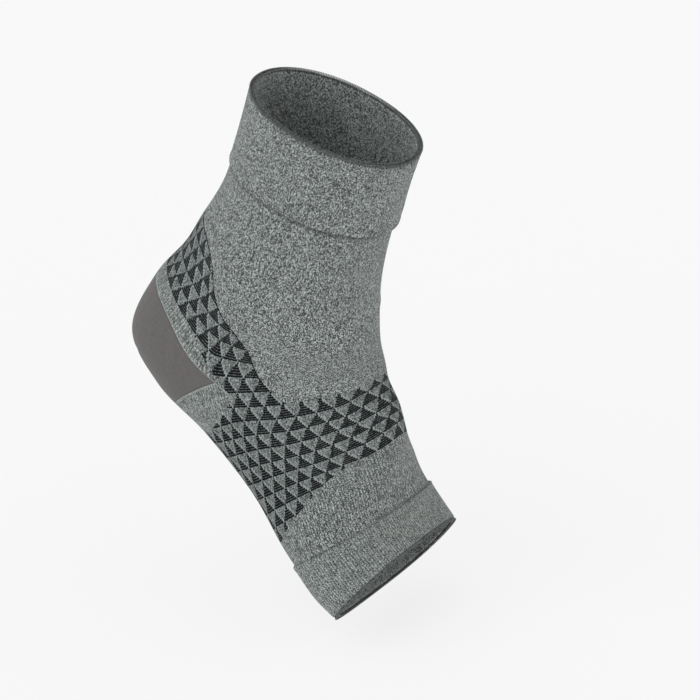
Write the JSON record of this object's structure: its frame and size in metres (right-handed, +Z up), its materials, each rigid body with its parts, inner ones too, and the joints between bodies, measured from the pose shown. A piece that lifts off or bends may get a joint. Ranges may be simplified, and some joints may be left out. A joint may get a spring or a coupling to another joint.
{
  "type": "arch support sleeve",
  "caption": "Open-toe knitted ankle and foot sleeve with doubled cuffs, a firmer triangle-patterned band under the arch and round the ankle, and a smooth knitted heel.",
  "frame": {"origin": "centre of the ankle joint that the sleeve is worn on, inside the ankle hollow", "axes": "+Z up with the heel raised and the toes pointing down, +X the way the toes point, -Y the outer side of the right foot"},
  "size_m": [0.1492, 0.0948, 0.2349],
  "materials": {
    "grey_knit": "heather grey single knit, fine light and dark speckle, matte",
    "pattern_knit": "firmer knit with rows of black triangles on heather grey, matte",
    "fine_knit": "finer and lighter plain grey knit round the heel, matte",
    "heel_knit": "smooth dark grey heel knit with fine courses, matte"
  },
  "bodies": {
    "root": {"ankle_cuff": "grey_knit", "leg_panel": "grey_knit", "support_band": "pattern_knit", "heel_surround": "fine_knit", "heel_pocket": "heel_knit", "foot_panel": "grey_knit", "toe_cuff": "grey_knit"}
  },
  "joints": []
}
